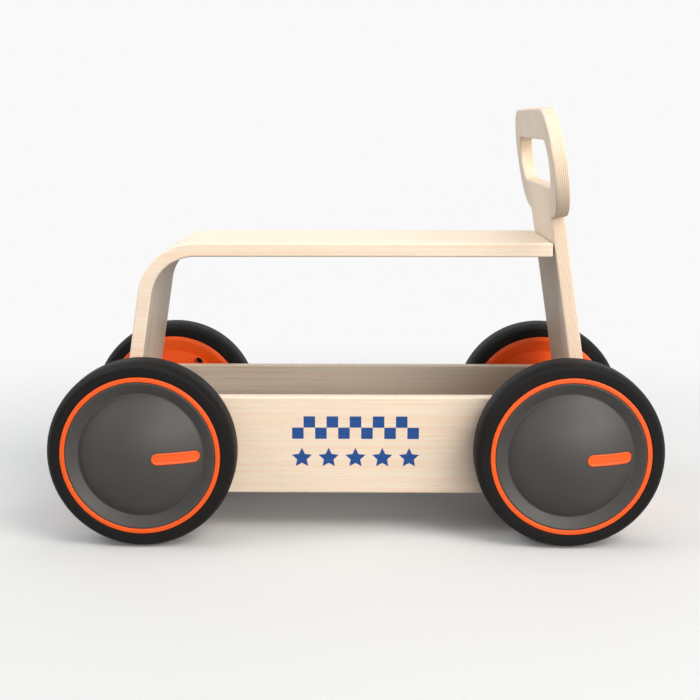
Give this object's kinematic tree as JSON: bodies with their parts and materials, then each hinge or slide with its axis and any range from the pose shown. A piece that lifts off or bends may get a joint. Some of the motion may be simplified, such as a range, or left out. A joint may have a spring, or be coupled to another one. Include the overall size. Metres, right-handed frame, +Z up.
{
  "type": "ride-on toy car",
  "caption": "Wooden ride-on toy car: a bent plywood seat and a leaning post with a loop handle over an open storage tray, on free-rolling wheels with rubber tyres.",
  "frame": {"origin": "on the floor, under the middle of the tray, halfway between the axles", "axes": "+X forwards, towards the handle; +Y to the rider's left, along the axles; +Z up"},
  "size_m": [0.5212, 0.2594, 0.3681],
  "materials": {
    "plywood": "clear satin lacquer",
    "tyre_rubber": "matt black rubber",
    "orange_plastic": "satin orange",
    "grey_plastic": "satin dark grey",
    "nylon": "natural nylon",
    "steel": "zinc plated"
  },
  "bodies": {
    "chassis": {"bent_seat": "plywood", "handle_post": "plywood", "floor_panel": "plywood", "side_board_left": "plywood", "side_board_right": "plywood", "seat_bolt_left": "steel", "seat_bolt_right": "steel", "barrel_nut_left": "steel", "barrel_nut_right": "steel", "axle_front": "steel", "axle_rear": "steel", "board_screw_front_left_1": "steel", "board_screw_front_left_2": "steel", "board_screw_rear_left_1": "steel", "board_screw_rear_left_2": "steel", "board_screw_front_right_1": "steel", "board_screw_front_right_2": "steel", "board_screw_rear_right_1": "steel", "board_screw_rear_right_2": "steel", "axle_bush_front_left": "nylon", "axle_bush_rear_left": "nylon", "axle_bush_front_right": "nylon", "axle_bush_rear_right": "nylon", "axle_washer_front_left": "steel", "axle_washer_rear_left": "steel", "axle_washer_front_right": "steel", "axle_washer_rear_right": "steel", "axle_cap_front_left": "steel", "axle_cap_rear_left": "steel", "axle_cap_front_right": "steel", "axle_cap_rear_right": "steel"},
    "wheel_front_left": {"tyre_front_left": "tyre_rubber", "rim_front_left": "orange_plastic", "hub_cap_front_left": "grey_plastic", "cap_inlay_front_left": "orange_plastic", "cap_screw_front_left_1": "steel", "cap_screw_front_left_2": "steel", "cap_screw_front_left_3": "steel"},
    "wheel_rear_left": {"tyre_rear_left": "tyre_rubber", "rim_rear_left": "orange_plastic", "hub_cap_rear_left": "grey_plastic", "cap_inlay_rear_left": "orange_plastic", "cap_screw_rear_left_1": "steel", "cap_screw_rear_left_2": "steel", "cap_screw_rear_left_3": "steel"},
    "wheel_front_right": {"tyre_front_right": "tyre_rubber", "rim_front_right": "orange_plastic", "hub_cap_front_right": "grey_plastic", "cap_inlay_front_right": "orange_plastic", "cap_screw_front_right_1": "steel", "cap_screw_front_right_2": "steel", "cap_screw_front_right_3": "steel"},
    "wheel_rear_right": {"tyre_rear_right": "tyre_rubber", "rim_rear_right": "orange_plastic", "hub_cap_rear_right": "grey_plastic", "cap_inlay_rear_right": "orange_plastic", "cap_screw_rear_right_1": "steel", "cap_screw_rear_right_2": "steel", "cap_screw_rear_right_3": "steel"}
  },
  "joints": [
    {"name": "roll_front_left", "type": "hinge", "parent": "chassis", "child": "wheel_front_left", "pos_m": [0.1806, 0.1, 0.08], "axis": [0, 1, 0], "continuous": true},
    {"name": "roll_rear_left", "type": "hinge", "parent": "chassis", "child": "wheel_rear_left", "pos_m": [-0.1806, 0.1, 0.08], "axis": [0, 1, 0], "continuous": true},
    {"name": "roll_front_right", "type": "hinge", "parent": "chassis", "child": "wheel_front_right", "pos_m": [0.1806, -0.1, 0.08], "axis": [0, 1, 0], "continuous": true},
    {"name": "roll_rear_right", "type": "hinge", "parent": "chassis", "child": "wheel_rear_right", "pos_m": [-0.1806, -0.1, 0.08], "axis": [0, 1, 0], "continuous": true}
  ]
}
